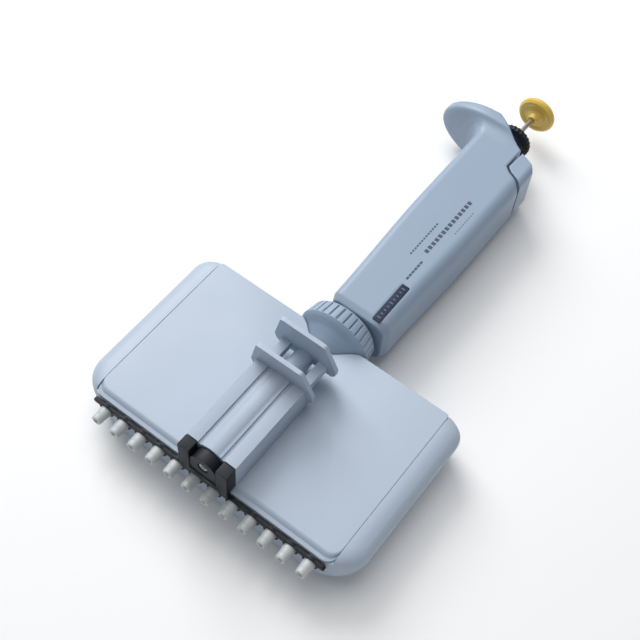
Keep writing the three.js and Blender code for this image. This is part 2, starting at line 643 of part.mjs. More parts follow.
const drumPlace = { x: DRUM_X, z: DRUM_Z, segments: 20 };
add('counter_shaft', MATERIAL.steel,
  rod(0.8, DRUM_LOW - 4, DRUM_LOW + 18, { ...drumPlace, segments: 12 }));
for (let i = 0; i < 3; i += 1) {
  const low = DRUM_LOW + i * (DRUM_LENGTH + GAP);
  add(`digit_drum_${i + 1}`, MATERIAL.black, tube(1.1, DRUM_R, low, low + DRUM_LENGTH, drumPlace));
}

// ---- Plunger ----
add('plunger_rod', MATERIAL.steel,
  rod(PLUNGER_R, PUSH_ROD_TOP + GAP, BUTTON_LOW + 2, { segments: 14 }));
const buttonBore = rod(PLUNGER_R + GAP, BUTTON_LOW - 1, BUTTON_LOW + 2 + GAP, { segments: 14 });
add('push_button', MATERIAL.button, cut(turned([
  [0, BUTTON_LOW], [2.2, BUTTON_LOW], [2.8, 242.6], [8, 243.6], [BUTTON_R, 244.8],
  [BUTTON_R, 246], [8.2, 247.4], [5.4, TOTAL_LENGTH], [0, TOTAL_LENGTH],
], { segments: 24 }), buttonBore));
add('plunger_spring', MATERIAL.steel, spring(
  4.1, 0.9, HANDLE_FLOOR + 3.4, SPRING_SEAT - GAP, 5, AXIS_Z,
));

export default part;
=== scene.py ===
"""Looks of the twelve-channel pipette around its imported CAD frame.

Shapes are worked out in millimetres in the part's own layout: x along the nozzle row, y up from
the nozzle ends, z out of the front cover, measured from the plane of the nozzle row.
"""

import json
import math

import bmesh
import bpy
import numpy as np
from mathutils import Matrix, Vector


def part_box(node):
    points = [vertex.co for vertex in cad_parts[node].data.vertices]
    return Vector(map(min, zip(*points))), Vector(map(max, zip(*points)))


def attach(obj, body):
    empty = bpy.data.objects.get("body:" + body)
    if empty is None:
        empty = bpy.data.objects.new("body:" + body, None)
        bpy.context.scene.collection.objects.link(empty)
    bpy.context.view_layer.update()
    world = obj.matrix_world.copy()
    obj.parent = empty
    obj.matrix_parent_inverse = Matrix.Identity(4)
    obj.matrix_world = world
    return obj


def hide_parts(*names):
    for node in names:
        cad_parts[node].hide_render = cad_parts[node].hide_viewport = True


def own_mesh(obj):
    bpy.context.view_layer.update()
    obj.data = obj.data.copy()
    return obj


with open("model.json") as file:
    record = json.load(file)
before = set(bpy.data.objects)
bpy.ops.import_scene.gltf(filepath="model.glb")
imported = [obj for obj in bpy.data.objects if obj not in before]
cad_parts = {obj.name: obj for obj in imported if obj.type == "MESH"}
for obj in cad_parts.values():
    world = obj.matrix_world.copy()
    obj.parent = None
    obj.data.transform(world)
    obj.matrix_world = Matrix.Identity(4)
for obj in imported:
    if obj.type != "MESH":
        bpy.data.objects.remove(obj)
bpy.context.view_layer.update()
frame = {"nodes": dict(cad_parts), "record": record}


MM = 0.001
NODES = frame["nodes"]


class Extent:
    """A CAD node's box, in the layout's millimetres."""

    def __init__(self, node):
        low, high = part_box(node)
        start, end = (to_layout(corner) for corner in (low, high))
        self.x0, self.y0, self.z0 = start
        self.x1, self.y1, self.z1 = end

    @property
    def cx(self):
        return (self.x0 + self.x1) / 2

    @property
    def cy(self):
        return (self.y0 + self.y1) / 2

    @property
    def cz(self):
        return (self.z0 + self.z1) / 2


first_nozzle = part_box("nozzle_01")
ROW_START = Vector((0, first_nozzle[0].y, (first_nozzle[0].z + first_nozzle[1].z) / 2))


def to_layout(point):
    return tuple((point - ROW_START) / MM)


def to_frame(x, y, z):
    return ROW_START + Vector((x, y, z)) * MM


CHANNELS = 12
COVER_SCREWS = 4
SHELL = Extent("back_shell")
COVER = Extent("front_cover")
SLEEVE = Extent("guide_sleeve")
GRIP = Extent("ejector_grip")
ROD = Extent("ejector_rod")
FOOT = Extent("ejector_foot")
STRIPPER = Extent("ejector_plate")
NUT = Extent("coupling_nut")
WASHER = Extent("swivel_washer")
HANDLE = Extent("handle_shell")
LABEL = Extent("range_label")
COLLAR = Extent("setting_collar")
PLUNGER = Extent("plunger_rod")
BUTTON = Extent("push_button")
WINDOW = Extent("counter_window")
NOZZLE = Extent("nozzle_01")

AXIS_Z = NUT.cz  # the swivel and plunger axis
FRONT_Z = COVER.z1
CHEEK_Z = 0.7  # height of the cheeks' widest line
BACK_FLAT = 53  # half width of the flat back
WALL = 2.2
SEAM = 0.3
FINE_SEAM = 0.06
FAR = 40  # past the handle on every side, for the forms that cut it
NECK_BORE = 6.3  # radius of the holes that the neck tube passes through
SHARP_DEGREES = 38  # edges that turn more than this stay sharp in the shading


# ---------------------------------------------------------------- mesh helpers


def new_object(name, mesh):
    piece = bpy.data.objects.new(name, mesh)
    bpy.context.scene.collection.objects.link(piece)
    return piece


def build(name, vertices, faces):
    """A mesh object from layout points in millimetres, shaded smooth except at sharp edges."""
    mesh = bpy.data.meshes.new(name)
    mesh.from_pydata([to_frame(*v) for v in vertices], [], faces)
    mesh.validate()
    shade(mesh)
    return new_object(name, mesh)


def shade(mesh):
    """Smooth shading that breaks at open and sharp edges."""
    form = bmesh.new()
    form.from_mesh(mesh)
    bmesh.ops.recalc_face_normals(form, faces=form.faces)
    limit = math.radians(SHARP_DEGREES)
    for face in form.faces:
        face.smooth = True
    for edge in form.edges:
        edge.smooth = len(edge.link_faces) == 2 and edge.calc_face_angle(0) < limit
    form.to_mesh(mesh)
    form.free()


def loft(name, rings, closed=False):
    """Skins equal rings of points. An open loft gets a flat cap at each end."""
    count = len(rings[0])
    vertices = [point for ring in rings for point in ring]
    faces = []
    spans = len(rings) if closed else len(rings) - 1
    for k in range(spans):
        low, high = k * count, ((k + 1) % len(rings)) * count
        for i in range(count):
            j = (i + 1) % count
            faces.append((low + i, low + j, high + j, high + i))
    if not closed:
        faces.append(tuple(reversed(range(count))))
        faces.append(tuple(range(len(vertices) - count, len(vertices))))
    return build(name, vertices, faces)


def rounded_outline(a0, a1, b0, b1, radii, steps=10):
    """Corner points of a rectangle, from low-left round to high-left, each corner an arc."""
    low_left, low_right, high_right, high_left = radii
    centres = (
        (a0 + low_left, b0 + low_left, low_left, 180),
        (a1 - low_right, b0 + low_right, low_right, 270),
        (a1 - high_right, b1 - high_right, high_right, 0),
        (a0 + high_left, b1 - high_left, high_left, 90),
    )
    points = []
    for a, b, radius, start in centres:
        for k in range(steps + 1):
            angle = math.radians(start + 90 * k / steps)
            points.append((a + radius * math.cos(angle), b + radius * math.sin(angle)))
    return points


def fillet(profile, steps=5):
    """Rounds a profile: each point is (a, b) or (a, b, radius)."""
    points = []
    for k, point in enumerate(profile):
        here = Vector(point[:2])
        radius = point[2] if len(point) > 2 else 0
        if not radius or k in (0, len(profile) - 1):
            points.append(tuple(here))
            continue
        before = Vector(profile[k - 1][:2]) - here
        after = Vector(profile[k + 1][:2]) - here
        turn = before.angle(after)
        reach = min(radius / math.tan(turn / 2), before.length * 0.49, after.length * 0.49)
        start = here + before.normalized() * reach
        end = here + after.normalized() * reach
        for i in range(steps + 1):
            t = i / steps
            bend = start * (1 - t) ** 2 + here * (2 * t * (1 - t)) + end * t**2
            points.append(tuple(bend))
    return points


def turned(name, profile, x=0.0, z=None, segments=96, steps=5, radius_at=None, closed=False):
    """Turns a profile of (radius, y, fillet) points about a line parallel to y."""
    centre_z = AXIS_Z if z is None else z
    outline = fillet(profile, steps)
    rings = []
    for radius, y in outline:
        ring = []
        for i in range(segments):
            angle = 2 * math.pi * i / segments
            r = max(radius, 0.01)
            if radius_at:
                r = radius_at(r, y, angle)
            ring.append((x + r * math.sin(angle), y, centre_z + r * math.cos(angle)))
        rings.append(ring)
    return loft(name, rings, closed=closed)


def prism(name, outline, axis, low, high):
    """A flat outline pulled along y or z. The outline holds the other two coordinates."""
    order = {"y": lambda p, t: (p[0], t, p[1]), "z": lambda p, t: (*p, t)}
    return loft(name, [[order[axis](p, t) for p in outline] for t in (low, high)])


def slab(name, x0, x1, y0, y1, z0, z1):
    """A plain block, to join to a form or to cut from one."""
    return prism(name, [(x0, z0), (x1, z0), (x1, z1), (x0, z1)], "y", y0, y1)


def rod(name, radius, y0, y1, x=0.0, z=None, segments=64):
    """A round bar along y, to join to a form or to cut from one."""
    return turned(name, [(radius, y0), (radius, y1)], x, z, segments)


def bake_modifiers(piece):
    """Applies every modifier and leaves a plain mesh."""
    graph = bpy.context.evaluated_depsgraph_get()
    mesh = bpy.data.meshes.new_from_object(piece.evaluated_get(graph))
    piece.modifiers.clear()
    piece.data = mesh
    return piece


def combine(piece, operation, *tools):
    """Exact boolean with each tool, which is used up."""
    for tool in tools:
        step = piece.modifiers.new("cut", "BOOLEAN")
        step.operation = operation
        step.solver = "EXACT"
        step.object = tool
        bake_modifiers(piece)
        bpy.data.objects.remove(tool)
    return piece


def bevelled(piece, width, degrees=50, segments=3):
    """Breaks the sharp edges that the cuts left."""
    step = piece.modifiers.new("edges", "BEVEL")
    step.width = width * MM
    step.segments = segments
    step.limit_method = "ANGLE"
    step.angle_limit = math.radians(degrees)
    step.use_clamp_overlap = True
    step.harden_normals = False
    bake_modifiers(piece)
    shade(piece.data)
    return piece


def moulded(piece, voxel, rounds=8):
    """Melts a joined form into one skin with soft edges and filled corners."""
    remesh = piece.modifiers.new("skin", "REMESH")
    remesh.mode = "VOXEL"
    remesh.voxel_size = voxel * MM
    remesh.use_smooth_shade = True
    relax = piece.modifiers.new("relax", "SMOOTH")
    relax.factor = 0.5
    relax.iterations = rounds
    bake_modifiers(piece)
    for face in piece.data.polygons:
        face.use_smooth = True
    return piece


def keep(piece, body, slot, material, *nodes):
    """Hands a finished piece to the frame."""
    piece.data.materials.clear()
    piece.data.materials.append(material)
    if nodes:
        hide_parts(*nodes)
    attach(piece, body)
    return piece


# ---------------------------------------------------------------- materials


def socket(shader, name, value):
    shader.inputs[name].default_value = value


class Look:
    """A Principled material with small helpers for its node tree."""

    def __init__(self, name):
        self.material = bpy.data.materials.new(name)
        self.material.use_nodes = True
        self.tree = self.material.node_tree
        self.shader = self.tree.nodes["Principled BSDF"]
        coordinates = self.node("ShaderNodeTexCoord")
        self.place = coordinates.outputs["Object"]

    def node(self, kind, **settings):
        made = self.tree.nodes.new(kind)
        for key, value in settings.items():
            setattr(made, key, value)
        return made

    def link(self, source, target):
        self.tree.links.new(source, target)

    def noise(self, scale, detail=3.0, roughness=0.55, stretch=None):
        source = self.place
        if stretch:
            mapping = self.node("ShaderNodeMapping")
            mapping.inputs["Scale"].default_value = stretch
            self.link(self.place, mapping.inputs["Vector"])
            source = mapping.outputs["Vector"]
        texture = self.node("ShaderNodeTexNoise")
        texture.inputs["Scale"].default_value = scale
        texture.inputs["Detail"].default_value = detail
        texture.inputs["Roughness"].default_value = roughness
        self.link(source, texture.inputs["Vector"])
        return texture.outputs["Fac"]

    def ramp(self, value, stops):
        ramp = self.node("ShaderNodeValToRGB")
        elements = ramp.color_ramp.elements
        while len(elements) < len(stops):
            elements.new(0.5)
        for element, (position, colour) in zip(elements, stops):
            element.position = position
            element.color = (*colour, 1)
        self.link(value, ramp.inputs["Fac"])
        return ramp.outputs["Color"]

    def span(self, value, low, high):
        """Maps 0..1 to low..high."""
        fit = self.node("ShaderNodeMapRange")
        fit.inputs["To Min"].default_value = low
        fit.inputs["To Max"].default_value = high
        self.link(value, fit.inputs["Value"])
        return fit.outputs["Result"]

    def bump(self, height, distance, below=None):
        bump = self.node("ShaderNodeBump")
        bump.inputs["Distance"].default_value = distance
        self.link(height, bump.inputs["Height"])
        if below:
            self.link(below, bump.inputs["Normal"])
        return bump.outputs["Normal"]

    def multiply(self, base, shadow, factor):
        """Darkens a base colour by a share of another."""
        mix = self.node("ShaderNodeMix", data_type="RGBA", blend_type="MULTIPLY")
        mix.inputs["Factor"].default_value = factor
        self.link(base, mix.inputs["A"])
        self.link(shadow, mix.inputs["B"])
        return mix.outputs["Result"]

    def colour(self, output):
        self.link(output, self.shader.inputs["Base Color"])

    def rough(self, output):
        self.link(output, self.shader.inputs["Roughness"])

    def normal(self, output):
        self.link(output, self.shader.inputs["Normal"])


def tint(colour, factor):
    return tuple(min(1.0, channel * factor) for channel in colour)


GRAIN = 0.000012  # height of the plastic's spark-eroded grain, in metres


def moulded_plastic(name, colour, roughness=0.42, coat=0.0, specks=True, gloss=0.5):
    """Injection-moulded plastic: fine spark-eroded grain, faint flow marks and handling wear."""
    look = Look(name)
    flow = look.noise(28, 4.0, 0.5, stretch=(1.0, 0.35, 1.0))
    cloud = look.noise(9, 2.0)
    base = look.ramp(flow, [(0.3, tint(colour, 0.955)), (0.7, tint(colour, 1.035))])
    shadow = look.ramp(cloud, [(0.35, (0.93, 0.94, 0.955)), (0.65, (1, 1, 1))])
    result = look.multiply(base, shadow, 0.5)
    if specks:
        dust = look.noise(2300, 1.0)
        spot = look.ramp(dust, [(0.73, (1, 1, 1)), (0.78, (0.86, 0.87, 0.88))])
        result = look.multiply(result, spot, 0.35)
    look.colour(result)
    smear = look.noise(60, 5.0, 0.6)
    look.rough(look.span(smear, roughness - 0.07, roughness + 0.09))
    fine = look.noise(5200, 2.0, 0.6)
    soft = look.noise(420, 2.0, 0.5)
    low = look.bump(soft, GRAIN * 1.6)
    look.normal(look.bump(fine, GRAIN, below=low))
    socket(look.shader, "IOR", 1.5)
    socket(look.shader, "Specular IOR Level", gloss)
    if coat:
        socket(look.shader, "Coat Weight", coat)
        socket(look.shader, "Coat Roughness", 0.18)
    return look.material


def ground_steel(name):
    """Steel with fine grinding lines round its axis."""
    look = Look(name)
    colour, roughness = (0.62, 0.62, 0.63), 0.26
    lines = look.noise(260, 4.0, 0.7, stretch=(1.0, 40.0, 1.0))
    look.colour(look.ramp(lines, [(0.25, tint(colour, 0.82)), (0.75, tint(colour, 1.1))]))
    look.rough(look.span(lines, roughness - 0.08, roughness + 0.12))
    look.normal(look.bump(lines, 0.000006))
    socket(look.shader, "Metallic", 1.0)
    return look.material


def silicone(name):
    """Dull dark rubber with a fine dusty haze."""
    look = Look(name)
    haze = look.noise(300, 4.0)
    look.colour(look.ramp(haze, [(0.3, (0.04, 0.04, 0.045)), (0.7, (0.065, 0.065, 0.07))]))
    look.rough(look.span(haze, 0.7, 0.9))
    look.normal(look.bump(look.noise(2500, 2.0), 0.00002))
    return look.material


def clear_window(name):
    """Clear plastic with light scratches."""
    look = Look(name)
    haze = look.noise(160, 5.0, 0.7)
    look.colour(look.ramp(haze, [(0.2, (0.86, 0.9, 0.92)), (0.8, (0.95, 0.97, 0.98))]))
    look.rough(look.span(haze, 0.04, 0.16))
    socket(look.shader, "Transmission Weight", 0.9)
    socket(look.shader, "IOR", 1.49)
    return look.material


def printed_film(name, colour):
    """Label film with a slight orange-peel gloss."""
    look = Look(name)
    peel = look.noise(900, 3.0)
    look.colour(look.ramp(peel, [(0.3, tint(colour, 0.85)), (0.7, tint(colour, 1.2))]))
    look.rough(look.span(look.noise(120, 4.0), 0.5, 0.64))
    socket(look.shader, "Specular IOR Level", 0.2)
    look.normal(look.bump(peel, 0.000008))
    return look.material


def printed_ink(name, colour):
    """Pad-printed ink, worn thin in spots."""
    look = Look(name)
    wear = look.noise(1500, 4.0, 0.7)
    look.colour(look.ramp(wear, [(0.25, tint(colour, 1.6)), (0.5, colour)]))
    look.rough(look.span(wear, 0.4, 0.6))
    look.normal(look.bump(wear, 0.000006))
    return look.material


HOUSING = moulded_plastic("housing_plastic", (0.40, 0.47, 0.565))
HANDLE_PLASTIC = moulded_plastic("handle_plastic", (0.27, 0.345, 0.45), 0.4)
NUT_PLASTIC = moulded_plastic("nut_plastic", (0.29, 0.37, 0.475), 0.42)
NOZZLE_PLASTIC = moulded_plastic("nozzle_plastic", (0.5, 0.525, 0.53), 0.3, coat=0.2)
BLACK = moulded_plastic("black_plastic", (0.012, 0.015, 0.021), 0.46, specks=False, gloss=0.22)
YELLOW = moulded_plastic("button_plastic", (0.68, 0.46, 0.07), 0.33, coat=0.25)
INNER = moulded_plastic("inner_plastic", (0.68, 0.69, 0.7), 0.5)
STEEL = ground_steel("ground_steel")
SILICONE = silicone("silicone")
CLEAR = clear_window("clear_plastic")
NAVY = printed_film("label_film", (0.02, 0.03, 0.062))
INK = printed_ink("navy_ink", (0.035, 0.055, 0.11))
PALE_INK = printed_ink("pale_ink", (0.12, 0.15, 0.2))
WHITE_INK = printed_ink("white_ink", (0.8, 0.81, 0.8))


# ---------------------------------------------------------------- manifold


HOUSING_CORNER_LOW, HOUSING_CORNER_TOP = 13, 7  # corner radii, seen from the front


def arc(share):
    """Height of a unit quarter circle."""
    return math.sqrt(max(0.0, 1 - share * share))


def housing_half(z, inset):
    """Half width of the housing at a depth: flat back, rounded cheeks, flat front."""
    half = SHELL.x1 - inset
    if z < CHEEK_Z:
        return BACK_FLAT + (half - BACK_FLAT) * arc((CHEEK_Z - z) / (CHEEK_Z - SHELL.z0 - inset))
    return COVER.x1 + (half - COVER.x1) * arc((z - CHEEK_Z) / (FRONT_Z - inset - CHEEK_Z))


def rim_pull(edge, depth):
    """How far a rounded edge of that radius draws in at a depth below its rim."""
    return edge - math.sqrt(max(0.0, edge**2 - max(0.0, edge - depth) ** 2))


def housing_form(name, inset, edge):
    """The housing's outer form, or its cavity when inset."""
    low, high = SHELL.z0 + inset, FRONT_Z - inset
    corner_low, corner_top = HOUSING_CORNER_LOW - inset, HOUSING_CORNER_TOP - inset
    rings = []
    steps = 36
    for k in range(steps + 1):
        z = (low + high) / 2 - (high - low) / 2 * math.cos(math.pi * k / steps)
        pull = rim_pull(edge, min(z - low, high - z))
        half = housing_half(z, inset)
        outline = rounded_outline(
            -half, half, SHELL.y0 + inset + pull, SHELL.y1 - inset - pull,
            [corner_low, corner_low, corner_top, corner_top], 12,
        )
        rings.append([(x, y, z) for x, y in outline])
    return loft(name, rings)


# The nut's cone: radius, and height above the nut's lower end.
NUT_CONE = ((7.6, 0.0), (10.0, 2.7), (12.4, 5.1), (15.2, 6.9), (16.5, 8.1))


def nut_pit(name, clearance):
    """The round pit in the housing's upper edge, following the nut's cone."""
    wall = [(radius + clearance, NUT.y0 + rise - clearance) for radius, rise in NUT_CONE]
    reach, end = wall[-1][0], SHELL.y1 + 5
    return turned(name, [(0, NUT.y0 - clearance), *wall, (reach, end), (0, end)], segments=128)


def channel_places():
    """The x of each nozzle."""
    return [Extent(f"nozzle_{i + 1:02d}").cx for i in range(CHANNELS)]


def back_shell():
    """The housing's outer form less its cavity, the cover's seat and all its holes."""
    shell = housing_form("housing_back", 0, 1.8)
    cavity = housing_form("cavity", WALL, 0)
    combine(cavity, "DIFFERENCE", nut_pit("pit_wall", WALL))
    seat = slab("seat", COVER.x0 - FINE_SEAM, COVER.x1 + FINE_SEAM, SHELL.y0 - 1, SHELL.y1 + 1,
                FRONT_Z - WALL - SEAM, FRONT_Z + 1)
    inside_y = 60  # a height inside the cavity, below the neck
    neck = rod("neck", NECK_BORE, inside_y, SHELL.y1 + 1)
    combine(shell, "DIFFERENCE", cavity, seat, nut_pit("pit", SEAM), neck)
    nozzle_hole_r, screw_bore_r = 2.9, 2.4
    wall_low, wall_top = SHELL.y0 - 1, SHELL.y0 + WALL + 1
    holes = [rod("hole", nozzle_hole_r, wall_low, wall_top, x, 0, 32) for x in channel_places()]
    screws = []
    for i in range(COVER_SCREWS):
        screw = Extent(f"cover_screw_{i + 1}")
        screws.append(pillar("bore", screw_bore_r, screw, SHELL.z0 - 1, screw.z0 + 2.3))
    combine(shell, "DIFFERENCE", *holes, *screws)
    bevelled(shell, 0.25)
    return keep(shell, "manifold", "housing", HOUSING, "back_shell")


def upright(name, profile, spot, segments):
    """Turns a profile of (radius, z) points about a line along z at the middle of a box."""
    rings = []
    for radius, z in profile:
        ring = []
        for i in range(segments):
            angle = 2 * math.pi * i / segments
            ring.append((spot.cx + radius * math.cos(angle), spot.cy + radius * math.sin(angle), z))
        rings.append(ring)
    return loft(name, rings)


def pillar(name, radius, spot, z0, z1, segments=40):
    """A round bar along z at the middle of a box."""
    return upright(name, [(radius, z0), (radius, z1)], spot, segments)


def front_cover():
    """Flat plate whose lower edge falls in a steep cove to a thin flat lip."""
    back = FRONT_Z - WALL
    edge = 0.4
    lip_z, lip_depth, cove = FRONT_Z - 1.5, 1.7, 2.0
    profile = [
        (back, 0.0), (lip_z - 0.45, 0.0), (lip_z - 0.15, 0.08), (lip_z, 0.4),
        (lip_z + 0.03, lip_depth - 0.15), (lip_z + 0.12, lip_depth),
    ]
    rings = [cover_ring(z, pull, 0.0) for z, pull in profile]
    steps = 14
    start_z, start_pull = profile[-1]
    for k in range(1, steps + 1):
        t = k / steps
        z = start_z + (FRONT_Z - start_z) * math.sin(t * math.pi / 2) ** 0.85
        pull = start_pull + cove * t
        rings.append(cover_ring(z, pull, rim_pull(edge, FRONT_Z - z)))
    cover = loft("front_plate", rings)
    combine(cover, "DIFFERENCE", nut_pit("pit", SEAM))
    bevelled(cover, 0.22, 55)
    return keep(cover, "manifold", "housing", HOUSING, "front_cover")


def cover_ring(z, low_pull, side_pull):
    """The cover's outline at a depth, drawn in at its lower edge and at its other edges."""
    corner_low, corner_top = 4.5, 1.6
    outline = rounded_outline(
        COVER.x0 + side_pull, COVER.x1 - side_pull, COVER.y0 + low_pull, COVER.y1 - side_pull,
        [corner_low, corner_low, corner_top, corner_top], 10,
    )
    return [(x, y, z) for x, y in outline]


def cover_screw(number):
    """A sunk screw with a hexagon socket, put in from the back."""
    node = f"cover_screw_{number}"
    spot = Extent(node)
    head, shank, hexagon, low = 2.1, 1, 1.05, spot.z0
    profile = [
        (0.01, low), (head, low, 0.35), (head, low + 2, 0.2), (shank, low + 2.1), (shank, spot.z1),
    ]
    screw = upright(f"housing_screw_{number}", fillet(profile), spot, 48)
    combine(screw, "DIFFERENCE", pillar("hex", hexagon, spot, low - 1, low + 1.3, 6))
    bevelled(screw, 0.06)
    return keep(screw, "manifold", "steel", STEEL, node)


def nozzle(number, x):
    """Tip cone: slim tapered barrel with a fine groove, rounded end and through bore."""
    bore, tip, root, flange_r = 0.95, 2.2, 2.6, 3.3
    seat = SHELL.y0 + WALL + SEAM
    profile = [
        (bore, NOZZLE.y1), (bore, 0.5, 0.3), (bore + 0.3, 0.0, 0.2), (tip - 0.15, 0.0, 0.3),
        (tip, 0.6, 0.3), (tip + 0.12, 2.1, 0.2), (tip + 0.02, 2.35, 0.1), (tip + 0.12, 2.7, 0.1),
        (root, 5.6, 0.3), (root, seat), (flange_r, seat, 0.2), (flange_r, NOZZLE.y1, 0.2),
    ]
    piece = turned(f"tip_cone_{number:02d}", profile, x, 0, 56, closed=True)
    return keep(piece, "manifold", "nozzle", NOZZLE_PLASTIC, f"nozzle_{number:02d}")


# ---------------------------------------------------------------- tip ejector

RAIL_TOP = FOOT.z1
RAIL_HALF = FOOT.x1
TUBE_R = 6.3
TUBE_Z = ROD.cz
BAR_IN, BAR_OUT = 6.7, 10.6  # the grip's bars, in x
BAR_LOW, BAR_TOP = 13.6, 17.6  # and in z
FLANGE = 1.9  # thickness of the finger flanges
FLANGE_LEAN = 0.15  # the flanges' outer edges lean towards the nozzles
FLANGE_ROOT_Z = 10.4
LEAN_RISE = FLANGE_LEAN * (SLEEVE.z1 - FLANGE_ROOT_Z)
SLEEVE_FLANGE = SLEEVE.y1 - LEAN_RISE - FLANGE  # lower faces at the flanges' outer edges
GRIP_FLANGE = GRIP.y1 - LEAN_RISE - FLANGE
EJECTOR_EDGE = 0.32  # width of the bevels on the sleeve and the grip


def flange(name, y):
    """Finger flange: narrow outer edge, wide shoulders near the rails, leaning towards the nozzles."""
    half = [(10.5, SLEEVE.z1, 1.6), (14.8, 17, 4), (14.4, 13.4, 1.6), (12.4, FLANGE_ROOT_Z, 0.8)]
    right = fillet([(0, SLEEVE.z1), *half, (0, FLANGE_ROOT_Z)], 6)[1:-1]
    outline = right + [(-x, z) for x, z in reversed(right)]
    rings = []
    for level in (y, y + FLANGE):
        rings.append([(x, level + FLANGE_LEAN * (SLEEVE.z1 - z), z) for x, z in outline])
    return loft(name, rings)


def bar(name, side, y0, y1, clearance=0.0):
    """One of the grip's square bars, or with clearance the channel that it runs in."""
    x0, x1 = sorted((side * (BAR_IN - clearance), side * (BAR_OUT + clearance)))
    return slab(name, x0, x1, y0, y1, BAR_LOW - clearance, BAR_TOP + clearance)


def guide_sleeve():
    """Two square rails with a round tube between them, and the fixed finger flange."""
    top = SLEEVE_FLANGE + FLANGE + FLANGE_LEAN * (SLEEVE.z1 - RAIL_TOP)
    body = slab("sleeve", -RAIL_HALF, RAIL_HALF, SLEEVE.y0, top, SLEEVE.z0, RAIL_TOP)
    valley_in, valley_out, valley_depth = 4.6, BAR_IN - 0.5, 0.9
    valleys = []
    for side in (-1, 1):
        x0, x1 = sorted((side * valley_in, side * valley_out))
        valleys.append(slab("valley", x0, x1, SLEEVE.y0 - 1, SLEEVE_FLANGE + 2,
                            RAIL_TOP - valley_depth, RAIL_TOP + 1))
    combine(body, "DIFFERENCE", *valleys)
    crest_swell, crest_lift = 0.3, 0.5
    barrel = rod("barrel", TUBE_R + crest_swell, SLEEVE.y0, top - 0.2, 0, TUBE_Z + crest_lift, 96)
    combine(body, "UNION", barrel, flange("fixed_flange", SLEEVE_FLANGE))
    bore_r, stem_r, floor, play = 4.55, 2.4, 2.4, 0.25
    below, above = SLEEVE.y0 - 1, SLEEVE.y1 + 1
    bore = rod("bore", bore_r, SLEEVE.y0 + floor, above, 0, TUBE_Z, 64)
    stem = rod("stem", stem_r, below, SLEEVE.y0 + 3, 0, TUBE_Z, 48)
    channels = [bar("channel", side, below, above, play) for side in (-1, 1)]
    combine(body, "DIFFERENCE", bore, stem, *channels)
    bevelled(body, EJECTOR_EDGE, 40)
    return keep(body, "manifold", "housing", HOUSING, "guide_sleeve")


def ejector_grip():
    """The moving finger flange with its two square bars."""
    grip = flange("ejector_flange", GRIP_FLANGE)
    bar_top = GRIP_FLANGE + FLANGE_LEAN * (SLEEVE.z1 - BAR_LOW) + 0.5
    for side in (-1, 1):
        combine(grip, "UNION", bar("bar", side, GRIP.y0, bar_top))
    bevelled(grip, EJECTOR_EDGE, 40)
    return keep(grip, "ejector", "housing", HOUSING, "ejector_grip")


def ejector_rod():
    """Guide rod, let into the moving flange at its upper end."""
    thin, thick, let_in, shoulder = 2.1, 4.3, 3.3, 42
    seat = GRIP_FLANGE + FLANGE_LEAN * (SLEEVE.z1 - TUBE_Z) + 0.6
    profile = [
        (0, ROD.y0), (thin, ROD.y0, 0.2), (thin, shoulder), (thick, shoulder, 0.3),
        (thick, seat, 0.2), (let_in, seat), (let_in, ROD.y1, 0.5), (0, ROD.y1),
    ]
    piece = turned("guide_rod", profile, 0, TUBE_Z, 96)
    return keep(piece, "ejector", "housing", HOUSING, "ejector_rod")


def ejector_foot():
    """Black shoe: two square cheeks, a round nose and an apron that reaches the stripper."""
    low = FRONT_Z + 0.4  # just clear of the cover
    middle, screw_r, head_r = 7, 1.2, 2.3
    foot = slab("foot", -middle, middle, FOOT.y0 + 0.5, FOOT.y1, low, TUBE_Z)
    for side in (-1, 1):
        x0, x1 = sorted((side * (BAR_IN - 0.3), side * FOOT.x1))
        cheek = slab("cheek", x0, x1, FOOT.y0, FOOT.y1, low, FOOT.z1)
        combine(foot, "UNION", cheek)
    nose = rod("nose", TUBE_R - 0.1, FOOT.y0 + 0.3, FOOT.y1, 0, TUBE_Z, 96)
    apron = slab("apron", FOOT.x0, FOOT.x1, FOOT.y0, STRIPPER.y1, FOOT.z0, low + 1)
    combine(foot, "UNION", nose, apron)
    bore = rod("bore", screw_r, 0, FOOT.y1 + 1, 0, TUBE_Z, 32)
    seat = rod("seat", head_r, 0, FOOT.y0 + 2.2, 0, TUBE_Z, 48)
    combine(foot, "DIFFERENCE", seat, bore)
    bevelled(foot, 0.4, 40)
    return keep(foot, "ejector", "black_plastic", BLACK, "ejector_foot")


def foot_screw():
    """The small screw in the foot's nose."""
    spot = Extent("foot_screw")
    head, shank, hexagon, neck_y = 1.95, 1, 1, spot.y0 + 1.4
    profile = [
        (0, spot.y0), (head, spot.y0, 0.35), (head, neck_y, 0.1), (shank, neck_y),
        (shank, spot.y1, 0.2), (0, spot.y1),
    ]
    screw = turned("nose_screw", profile, 0, TUBE_Z, 48)
    combine(screw, "DIFFERENCE", rod("hex", hexagon, 0, spot.y0 + 0.9, 0, TUBE_Z, 6))
    bevelled(screw, 0.06)
    return keep(screw, "ejector", "steel", STEEL, "foot_screw")


def stripper():
    """A narrow strip with a ring round each nozzle."""
    ring_r, hole_r = 3.55, 2.85
    end, top = STRIPPER.x1 - 1.2, STRIPPER.z1 - 0.9
    outline = rounded_outline(-end, end, 0.6, top, [1.2] * 4, 8)
    plate = prism("stripper_plate", outline, "y", STRIPPER.y0, STRIPPER.y1)
    for x in channel_places():
        combine(plate, "UNION", rod("ring", ring_r, STRIPPER.y0, STRIPPER.y1, x, 0, 48))
    holes = [rod("hole", hole_r, 0, 12, x, 0, 40) for x in channel_places()]
    combine(plate, "DIFFERENCE", *holes)
    moulded(plate, 0.22, 3)
    return keep(plate, "ejector", "black_plastic", BLACK, "ejector_plate")


# ---------------------------------------------------------------- nut and swivel

NUT_RIBS = 30


